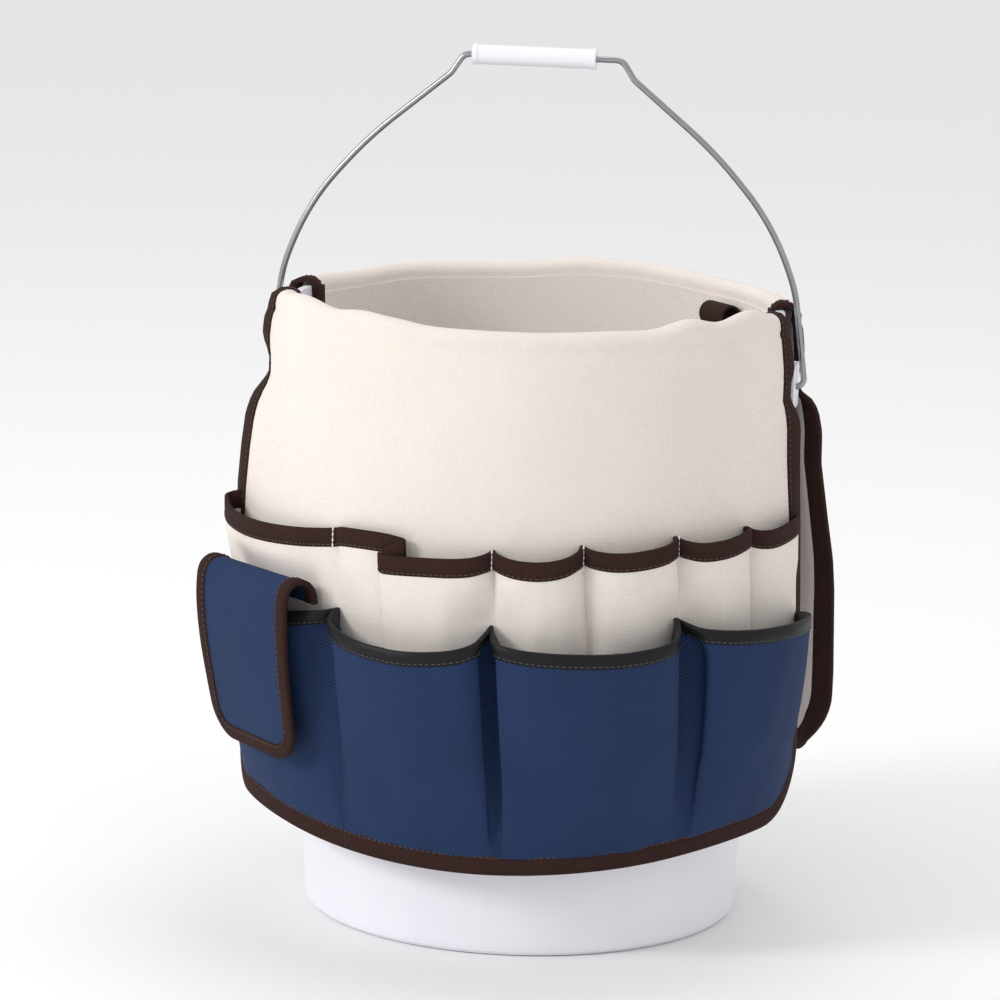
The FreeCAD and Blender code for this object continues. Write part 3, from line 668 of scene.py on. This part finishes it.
def columns(half, corner, step):
    """Places from -half to half, closer together where a corner is round."""
    ends = sorted({round(half - corner * (1 - math.cos(math.radians(10 * k))), 4) for k in range(10)})
    count = max(2, round(2 * (half - corner) / step))
    middle = [-(half - corner) + 2 * (half - corner) * k / count for k in range(1, count)]
    return [-e for e in reversed(ends)] + middle + ends


def apron(side):
    xs = columns(HALF_WIDTH, CORNER, 5.0)
    roll = [INNER_END + (CREST_DROP - INNER_END) * k / 14 for k in range(14)]
    fine = [CREST_DROP + 2.0 * k for k in range(10)]
    rows = 44
    net, flat = [], []
    for r in range(len(roll) + len(fine) + rows + 1):
        net.append([])
        flat.append([])
        for x in xs:
            low, start = hem_drop(side, x), fine[-1] + 2.0
            if r < len(roll):
                drop = roll[r]
            elif r < len(roll) + len(fine):
                drop = fine[r - len(roll)]
            else:
                drop = start + (low - start) * (r - len(roll) - len(fine)) / rows
            net[-1].append(apron_place(side, x, drop))
            flat[-1].append((x, drop))
    piece = sheet(f"{side.name}_apron_cloth", net, flat, CREAM)
    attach(piece, ROOT)
    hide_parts(f"{side.name}_apron")
    return piece


def apron_outline(side):
    """Flat places round the free edge with the way in, from inside the rim at the left round to the right."""
    straight = HALF_WIDTH - CORNER
    low = hem_drop(side, HALF_WIDTH)
    down = 60
    path = [(-HALF_WIDTH, INNER_END + (low - INNER_END) * k / down, 1.0, 0.0) for k in range(down)]
    for k in range(13):
        a = math.radians(90 * k / 12)
        x = -straight - CORNER * math.cos(a)
        path.append((x, hem_drop(side, x), math.cos(a), -math.sin(a)))
    for k in range(1, 80):
        x = -straight + 2 * straight * k / 80
        path.append((x, hem_drop(side, x), 0.0, -1.0))
    left = path[:down + 13]
    return path + [(-x, drop, -ix, iy) for x, drop, ix, iy in reversed(left)]


def edge_tape(side, width=11.5, half=1.6):
    places = [lambda d, p=p: apron_place(side, p[0] + p[2] * d, p[1] + p[3] * d) for p in apron_outline(side)]
    piece, lines = tape(f"{side.name}_edge_tape", [tape_runs(places, width)], width, BROWN, half, flip=True)
    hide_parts(f"{side.name}_edge_binding")
    thread = stitches(f"{side.name}_edge_stitches", lines, BROWN_THREAD)
    for made in (piece, thread):
        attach(made, ROOT)


for side in (FRONT, BACK):
    declare(apron(side))
    edge_tape(side)

# %% [markdown]
# ## The lining
#
# Inside the mouth the cloth goes on as a lining, open at both sides where the bail passes. It is one ring
# of cloth whose upper part is left out between the aprons. The tape that binds each opening is a U, so its
# edge is followed down one side, along the bottom and up the other.

# %% The lining and its tapes
LINING_TOP = 5.0
SLOT_FOOT = 22.0
LINING_DROP = 112.0
LINING_GAP = 0.3             # the lining hangs this far inside the cloth of the rim, and tapers by the next
LINING_TAPER = 4.3


def lining_place(angle, drop, out=0.0):
    """A place on the lining, angle from the front; the rim's waves fade out below it."""
    side = FRONT if abs((angle + 180) % 360 - 180) < 90 else BACK
    own = (angle - side.turn + 180) % 360 - 180
    wave = rim_wave(side, own) * max(0.0, 1 - drop / 60) ** 2
    share = (drop - CREST_DROP) / (LINING_DROP - CREST_DROP)
    radius = CREST_IN - LINING_GAP - LINING_TAPER * share + 0.5 * ripple(angle * 2.5, drop, 8.0) - out
    return turned(FRONT, angle, radius, PAIL_HEIGHT - drop + wave)


def lining():
    drops = [LINING_TOP, 8, 13, SLOT_FOOT]
    drops += [SLOT_FOOT + (LINING_DROP - SLOT_FOOT) * k / 16 for k in range(1, 17)]
    angles = [180 - 2 * k for k in range(181)]
    net = [[lining_place(a, d) for a in angles] for d in drops]
    flat = [[(-math.radians(a) * CREST_IN, d) for a in angles] for d in drops]

    def keep(row, col):
        middle = abs(abs((angles[col] + angles[col + 1]) / 2) - 90)
        return row >= 3 or middle > 90 - EDGE_ANGLE

    piece = sheet("lining_cloth", net, flat, CREAM, keep=keep)
    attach(piece, ROOT)
    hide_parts("lining")
    return piece


def lining_foot_tape(width=10.5):
    places = [lambda d, a=a: lining_place(a, LINING_DROP - d) for a in range(180, -183, -3)]
    piece, lines = tape("lining_foot_tape", [tape_runs(places, width)], width, BROWN, flip=True)
    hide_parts("lining_binding")
    return piece, stitches("lining_foot_stitches", lines, BROWN_THREAD)


def slot_tape(name, middle, width=11.5):
    """The U of tape round a slot, sewn to the lining."""
    half, degree = 90 - EDGE_ANGLE, math.radians(1) * CREST_IN
    path = [(half, SLOT_FOOT * k / 6, 1.0, 0.0) for k in range(6)]
    path += [(half, SLOT_FOOT, 0.7, 0.7)]
    path += [(half - 2 * half * k / 8, SLOT_FOOT, 0.0, 1.0) for k in range(1, 8)]
    path += [(-half, SLOT_FOOT, -0.7, 0.7)]
    path += [(-half, SLOT_FOOT * (1 - k / 6), -1.0, 0.0) for k in range(1, 7)]
    places = [lambda d, p=p: lining_place(middle + p[0] + p[2] * d / degree, p[1] + p[3] * d) for p in path]
    piece, lines = tape(f"{name}_slot_tape", [tape_runs(places, width)], width, BROWN, flip=True)
    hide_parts(f"{name}_slot_binding")
    return piece, stitches(f"{name}_slot_stitches", lines, BROWN_THREAD)


declare(lining())
for made in [*lining_foot_tape(), *slot_tape("right", 90), *slot_tape("left", 270)]:
    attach(made, ROOT)

# %% [markdown]
# ## Pockets
#
# A pocket is a second layer that is longer than the apron behind it, so it stands off in a bellows. Its
# mouth is drawn as a line of knots: an angle round the pail, a depth off the apron and a drop below the
# rim. The line's corners are cut until it is round, and the depth fades towards the pocket's foot, which is
# sewn flat.

# %% The mouths, knot by knot
FRONT_UPPER = (
    ((-79.7, 0.4, 119), (-79.6, 6, 119.8), (-78.4, 11.5, 121.5), (-70, 13.5, 124.5), (-58, 11, 124.8),
     (-45, 6.5, 122), (-36.5, 3, 119), (-34, 0, 118)),
    ((-34, 0, 118), (-32, 4.5, 116), (-22, 5, 115.3), (-16.8, 4.5, 117.3), (-16.6, 6.5, 118),
     (-20.6, 7.5, 123), (-21.4, 8.5, 126), (-20.6, 10, 127.5), (-13, 13, 126), (-3, 12.5, 124.8),
     (1, 7, 122), (2, 0, 120.5)),
    ((2, 0, 120.5), (2.9, 7, 121.5), (6.5, 12, 123.8), (11.5, 13, 124.6), (16.3, 12, 122.5), (19.6, 7, 118.5),
     (20.5, 0, 116.5)),
    ((20.5, 0, 116.5), (21.4, 7, 117.8), (25, 12, 119.3), (30, 13, 119), (36, 12, 116.8), (40.1, 7, 114),
     (41, 0, 113.5)),
    ((41, 0, 113.5), (41.9, 7, 115.2), (45, 12, 116.8), (50, 12.5, 116.2), (55.5, 11, 113.8),
     (59.2, 6.5, 112.6), (60, 0, 113)),
    ((60, 0, 113), (60.9, 6, 115), (64.5, 9.5, 115.8), (70.5, 9, 114.4), (75.5, 7, 113.4), (79, 4, 114),
     (79.7, 0.6, 114.5)),
)
FRONT_LOWER = (
    ((-79.7, 0.4, 167), (-79.4, 8, 168), (-74, 16, 171), (-60, 20, 173), (-46, 17, 170.5), (-37, 12.5, 167),
     (-33.9, 8, 165.5), (-33, 0, 164.5)),
    ((-33, 0, 164.5), (-32.4, 9, 166.5), (-31, 16, 169), (-27, 21.5, 172.5), (-20, 27, 176), (-12.5, 31, 177),
     (-5, 30, 175), (-0.6, 25, 171.5), (0.8, 18, 169), (1.8, 7, 166), (2.2, 0, 164)),
    ((2.2, 0, 164), (2.6, 8, 167), (3.2, 20, 170), (9, 27, 172.5), (20, 33, 173), (29, 32, 172),
     (35.2, 27, 169.5), (38.4, 18, 166), (40.5, 7, 162.5), (41.3, 0, 161)),
    ((41.3, 0, 161), (42, 9, 163), (43.4, 20, 164.5), (50, 27, 166), (60, 28, 167), (69, 23, 167.5),
     (75.5, 13, 169), (79, 4.5, 172), (79.7, 0.6, 173)),
)
# a seam leans this many degrees towards the hem, by its angle at the mouth
SEAM_LEAN = ((-80, 0), (-34, 2.5), (2, 2.5), (41, 4.0), (80, 0))


def mirrored(row):
    """The same mouths in the order that a mirror shows."""
    return tuple(tuple((-a, depth, drop) for a, depth, drop in reversed(mouth)) for mouth in reversed(row))


def flattened(row):
    """A row whose first pocket lies nearly flat near the free edge."""
    first = row[0]
    span = first[-1][0] - first[0][0]
    flat = tuple((a, depth * (0.2 + 0.5 * ((a - first[0][0]) / span) ** 2), drop) for a, depth, drop in first)
    return (flat,) + row[1:]


def rounded(knots, times=3):
    """A line whose corners are cut again and again; its ends stay."""
    for _ in range(times):
        cut = [knots[0]]
        for a, b in zip(knots, knots[1:]):
            cut.append(tuple(0.75 * p + 0.25 * q for p, q in zip(a, b)))
            cut.append(tuple(0.25 * p + 0.75 * q for p, q in zip(a, b)))
        knots = cut + [knots[-1]]
    return knots


# %% One pocket as a sheet
def folded(knot, ends, share, tuck):
    """The angle of a point of a bellows: its sides tuck in below the mouth, and its seams lean."""
    angle, depth, _ = knot
    near_left = angle - ends[0] < ends[1] - angle
    inside = (angle - ends[0]) if near_left else (ends[1] - angle)
    tucked = math.sin(math.pi * min(1.0, depth / 20)) * max(0.0, 1 - inside / 7)
    shift = tuck * tucked * min(1.0, share / 0.12) * (1 - share ** 2)
    return angle + (shift if near_left else -shift) + reading(SEAM_LEAN, angle) * share


LOWER_SEAMS = (-79.7, -33.0, 2.2, 41.3, 79.7)
FLAP_SPAN = (-72.0, -38.0)


def pressed(angle, drop):
    """How much an upper pocket is pressed flat where a lower seam or the flap is sewn through it."""
    near = min(abs(angle - at) for at in LOWER_SEAMS)
    share = max(0.0, 1 - near / 9)
    if FLAP_SPAN[0] < angle < FLAP_SPAN[1]:
        share = max(share, 0.8)
    return share * min(1.0, max(0.0, (drop - 140) / 20))


def pocket_place(side, knot, ends, foot, share, seed, tuck):
    """A point of a pocket: knot of its mouth, share of the way down to its foot's drop."""
    _, depth, mouth = knot
    angle = folded(knot, ends, share, tuck)
    left = 1 - share ** 1.6
    x = math.radians(angle) * FLAT_RADIUS
    drop = mouth + (foot - mouth) * share
    over = (CLOTH + 0.4) * min(1.0, max(0.0, (252 - drop) / 14)) if mouth > 140 else 0.0
    over *= min(1.0, max(0.0, (79.7 - abs(angle)) / 5))
    if mouth < 140:
        left *= 1 - pressed(angle if side is FRONT else -angle, drop)
    crease = 0.035 * depth * ripple(x, drop, seed, 16, 60) + 0.6 * ripple(x, drop, seed + 5, 30, 45)
    sewn = CLOTH + 0.2 - 0.35 * share + over
    return apron_place(side, x, drop, sewn + depth * left + crease * min(1.0, depth / 6))


def seam_line(side, knot, width):
    """Stitches across the mouth's tape at a seam."""
    angle, _, mouth = knot
    way = outward(side, angle)
    x = math.radians(angle) * FLAT_RADIUS
    return [(apron_place(side, x, mouth + t * width / 6, 5.6), way) for t in range(-1, 8)]


def pocket(side, row, index, knots, deepest, material, rows=30):
    """The cloth of one pocket and the places of its mouth."""
    line = rounded(list(knots))
    ends = (line[0][0], line[-1][0])
    seed = index * 7.3 + side.turn + (50 if row == "lower" else 0)
    tuck = 3.6 if row == "lower" else 0.8
    lengths = [0.0]
    for a, b in zip(line, line[1:]):
        lengths.append(lengths[-1] + math.hypot(math.radians(b[0] - a[0]) * FLAT_RADIUS, b[1] - a[1]))
    net, flat = [], []
    feet = [min(deepest, hem_drop(side, math.radians(k[0]) * FLAT_RADIUS) - 10.0) for k in line]
    for r in range(rows + 1):
        share = (r / rows) ** 1.15
        net.append([pocket_place(side, k, ends, foot, share, seed, tuck) for k, foot in zip(line, feet)])
        flat.append([(x, k[2] + (foot - k[2]) * share) for x, k, foot in zip(lengths, line, feet)])
    piece = sheet(f"{side.name}_{row}_pocket_{index + 1}_cloth", net, flat, material)
    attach(piece, ROOT)
    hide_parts(f"{side.name}_{row}_pocket_{index + 1}")
    declare(piece)
    return [lambda d, k=k, foot=foot: pocket_place(side, k, ends, foot, d / (foot - k[2]), seed, tuck)
            for k, foot in zip(line, feet)]


def outward(side, angle):
    a = math.radians(angle + side.turn)
    return Vector((math.sin(a), -math.cos(a), 0))


def pocket_row(side, row, mouths, deepest, material, width, binding, thread_finish):
    rows, seams = [], []
    for k, mouth in enumerate(mouths):
        rows.append(tape_runs(pocket(side, row, k, mouth, deepest, material), width))
        seams += [seam_line(side, mouth[0], width)] if k else []
    piece, lines = tape(f"{side.name}_{row}_mouth_tape", rows, width, binding)
    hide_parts(f"{side.name}_{row}_pocket_trim")
    made = [piece, stitches(f"{side.name}_{row}_mouth_stitches", lines, thread_finish)]
    if row == "upper":
        made.append(stitches(f"{side.name}_{row}_seam_stitches", seams, WHITE_THREAD, 3.0, 3.1, 0.55))
    for each in made:
        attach(each, ROOT)


BACK_UPPER = flattened(mirrored(FRONT_UPPER))
BACK_LOWER = flattened(mirrored(FRONT_LOWER))
for side, upper, lower in ((FRONT, FRONT_UPPER, FRONT_LOWER), (BACK, BACK_UPPER, BACK_LOWER)):
    pocket_row(side, "upper", upper, 229.0, CREAM, 10.5, BROWN, BROWN_THREAD)
    pocket_row(side, "lower", lower, side.hem - 10.0, NAVY, 8.0, BLACK, BLACK_THREAD)

# %% [markdown]
# ## The flap
#
# One navy pocket has a flap over it. It is sewn to the apron behind the pocket, arches out and hangs in
# front.

# %% The flap's sizes
def facing(angle):
    """Unit vectors along the cloth and out of it at an angle from the front."""
    a = math.radians(angle)
    return Vector((math.cos(a), math.sin(a), 0)), Vector((math.sin(a), -math.cos(a), 0))


FLAP_ALONG, FLAP_AHEAD = facing(-43.0)
FLAP_WIDTH = 91.0
FLAP_MIDDLE = -27.5
FLAP_CORNER = 20.0
# the flap's line from its sewn end: out from the axis, drop below the rim
FLAP_LINE = ((169, 163), (169.5, 157), (173, 151.5), (178.5, 148.8), (184, 149.5), (188.5, 153), (190.3, 161),
             (190.2, 185), (188.6, 215), (187, 240), (185.2, 257))
FLAP_SAG_FROM = 45.0         # below this the flap leans in, more at its left
FLAP_SAG = (8.5, 3.5)


def flap_rules():
    line = rounded([tuple(map(float, p)) for p in FLAP_LINE], 3)
    travelled = [0.0]
    for a, b in zip(line, line[1:]):
        travelled.append(travelled[-1] + math.hypot(b[0] - a[0], b[1] - a[1]))
    return line, travelled


FLAP_POINTS, FLAP_TRAVEL = flap_rules()
FLAP_LENGTH = FLAP_TRAVEL[-1]


def flap_place(x, down):
    """Where a flat point of the flap is: x across from its middle, down along it from the sewn end."""
    down = min(max(down, 0.0), FLAP_LENGTH)
    out = reading(tuple(zip(FLAP_TRAVEL, [p[0] for p in FLAP_POINTS])), down)
    drop = reading(tuple(zip(FLAP_TRAVEL, [p[1] for p in FLAP_POINTS])), down)
    loose = min(1.0, down / 40)
    fall = max(0.0, (down - FLAP_SAG_FROM) / (FLAP_LENGTH - FLAP_SAG_FROM))
    out -= (FLAP_SAG[0] - FLAP_SAG[1] * x / (FLAP_WIDTH / 2)) * fall ** 1.4
    out += 1.1 * loose * math.cos(math.pi * x / FLAP_WIDTH) + 0.9 * loose * ripple(x, down, 77, 40, 40)
    x += 1.2 * loose * ripple(0, down, 78, 40, 50)
    return (FLAP_ALONG * (FLAP_MIDDLE + x) + FLAP_AHEAD * out + Vector((0, 0, PAIL_HEIGHT - drop))) * MM


def flap_end(x):
    """How far down the flap reaches at x, with its rounded corners."""
    inside = FLAP_WIDTH / 2 - abs(x)
    if inside >= FLAP_CORNER:
        return FLAP_LENGTH
    return FLAP_LENGTH - FLAP_CORNER + math.sqrt(max(0.0, FLAP_CORNER ** 2 - (FLAP_CORNER - inside) ** 2))


def flap_outline():
    half, corner = FLAP_WIDTH / 2, FLAP_CORNER
    side_end = FLAP_LENGTH - corner
    path = [(-half, side_end * k / 40, 1.0, 0.0) for k in range(40)]
    for k in range(13):
        a = math.radians(90 * k / 12)
        x, down = -half + corner - corner * math.cos(a), side_end + corner * math.sin(a)
        path.append((x, down, math.cos(a), -math.sin(a)))
    left = list(path)
    path += [(-half + corner + 2 * (half - corner) * k / 16, FLAP_LENGTH, 0.0, -1.0) for k in range(1, 16)]
    return path + [(-x, y, -ix, iy) for x, y, ix, iy in reversed(left)]


def flap():
    xs = columns(FLAP_WIDTH / 2, FLAP_CORNER, 4.0)
    rows = 48
    flat = [[(x, flap_end(x) * r / rows) for x in xs] for r in range(rows + 1)]
    net = [[flap_place(x, down) for x, down in row] for row in flat]
    cloth = sheet("flap_cloth", net, flat, NAVY, 1.8)
    places = [lambda d, p=p: flap_place(p[0] + p[2] * d, p[1] + p[3] * d) for p in flap_outline()]
    binding, lines = tape("flap_tape", [tape_runs(places, 8.5)], 8.5, BROWN, half=1.7, flip=True)
    thread = stitches("flap_stitches", lines, BROWN_THREAD)
    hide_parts("flap_panel", "flap_root")
    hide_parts("flap_binding")
    for made in (cloth, binding, thread):
        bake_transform(made)
    declare(cloth)


flap()

# %% [markdown]
# ## Closing patches and the ring's webbing
#
# The patches are small pads of hook-and-loop: a grid of cloth with a thickness. The ring hangs in a strip of
# webbing folded back on itself. The strip is drawn once from the side, as a row of points, and extruded
# sideways.


# %% Patches
PATCH_HALF = 19.0
PATCH_TALL = 25.0
PATCH_THICK = 1.1
PATCH_PROUD = 1.3            # the loop patch stands this far off the pocket's cloth
HOOK_ABOVE = 36.0            # top of the hook patch above the flap's end
LOOP_ANGLE = -52.0
LOOP_RADIUS = 186.0
LOOP_DROP = 236.0            # middle of the loop patch
LOOP_MOUTH = 172.0           # the pocket's mouth and foot there
LOOP_FOOT = 295.0


def patch(name, node, body, place):
    """A small pad of pile: place says where a point is, from its share across and down the pad."""
    steps = 12
    flat = [[(-PATCH_HALF + 2 * PATCH_HALF * c / steps, PATCH_TALL * r / steps) for c in range(steps + 1)]
            for r in range(steps + 1)]
    net = [[place(x, down) for x, down in row] for row in flat]
    piece = sheet(name, net, flat, PILE, PATCH_THICK)
    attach(piece, body)
    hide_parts(node)
    return piece


def under_flap(x, down):
    """On the inside of the flap, a little above its lower tape."""
    return flap_place(x, FLAP_LENGTH - HOOK_ABOVE + down) - FLAP_AHEAD * (1.5 * MM)


def on_pocket(x, down):
    """On the pocket's face behind the flap's patch."""
    knots = rounded(list(FRONT_LOWER[0]))
    angle = LOOP_ANGLE + math.degrees(x / LOOP_RADIUS)
    depth = reading([(k[0], k[1]) for k in knots], angle)
    share = (LOOP_DROP - LOOP_MOUTH + down - PATCH_TALL / 2) / (LOOP_FOOT - LOOP_MOUTH)
    ends = (knots[0][0], knots[-1][0])
    return pocket_place(FRONT, (angle, depth + PATCH_PROUD, LOOP_MOUTH), ends, LOOP_FOOT, share, 50.0, 0.0)


patch("hook_pad", "flap_hook_patch", "flap", under_flap)
patch("loop_pad", "pocket_loop_patch", ROOT, on_pocket)


# %% The folded webbing
TAB_ANGLE = 130.0
TAB_WIDTH = 25.0
TAB_LOOP = 6.7
TAB_OUT = 131.1
TAB_HEIGHT = 354.0
TAB_LEG = 24.0


def ring_tab():
    along, out = facing(TAB_ANGLE)
    outline = [(TAB_LOOP - 1.0, -TAB_LEG), (TAB_LOOP - 0.6, -TAB_LEG / 2)]
    turns = [math.radians(d) for d in range(0, 271, 18)]
    outline += [(TAB_LOOP * math.cos(a), TAB_LOOP * math.sin(a)) for a in turns]
    outline += [(TAB_LOOP - 2.8, -TAB_LOOP - 0.6)]
    outline += [(TAB_LOOP - 2.0, -TAB_LOOP - 4), (TAB_LOOP - 2.0, -TAB_LEG)]
    centre = out * TAB_OUT + Vector((0, 0, TAB_HEIGHT))
    points, flat, travelled, before = [], [], 0.0, None
    across = 8
    for o, h in outline:
        travelled += math.hypot(o - before[0], h - before[1]) if before else 0.0
        before = (o, h)
        for k in range(across + 1):
            side = -TAB_WIDTH / 2 + TAB_WIDTH * k / across
            points.append((centre + out * o + Vector((0, 0, h)) + along * side) * MM)
            flat.append((travelled * MM, side * MM))
    n = across + 1
    faces = [(r * n + c, r * n + c + 1, (r + 1) * n + c + 1, (r + 1) * n + c)
             for r in range(len(outline) - 1) for c in range(across)]
    piece = mesh_piece("ring_webbing", points, faces, flat, BROWN)
    select_only(piece)
    solid = piece.modifiers.new("thickness", "SOLIDIFY")
    solid.thickness = 1.5 * MM
    solid.offset = 0
    bpy.ops.object.modifier_apply(modifier=solid.name)
    bpy.ops.object.shade_smooth_by_angle(angle=math.radians(40))
    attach(piece, ROOT)
    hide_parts("ring_tab")


ring_tab()

# %% [markdown]
# ## The two boxes
#
# The last step prints the visual model's box beside the CAD model's, since cloth may stand proud of its
# solids by a little.

# %% Sizes and finish
visual_box = [list(corner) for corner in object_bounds()]
for name, box in (("CAD", cad_box), ("visual", visual_box)):
    print(name, "box:", [[round(v / MM, 1) for v in corner] for corner in box])
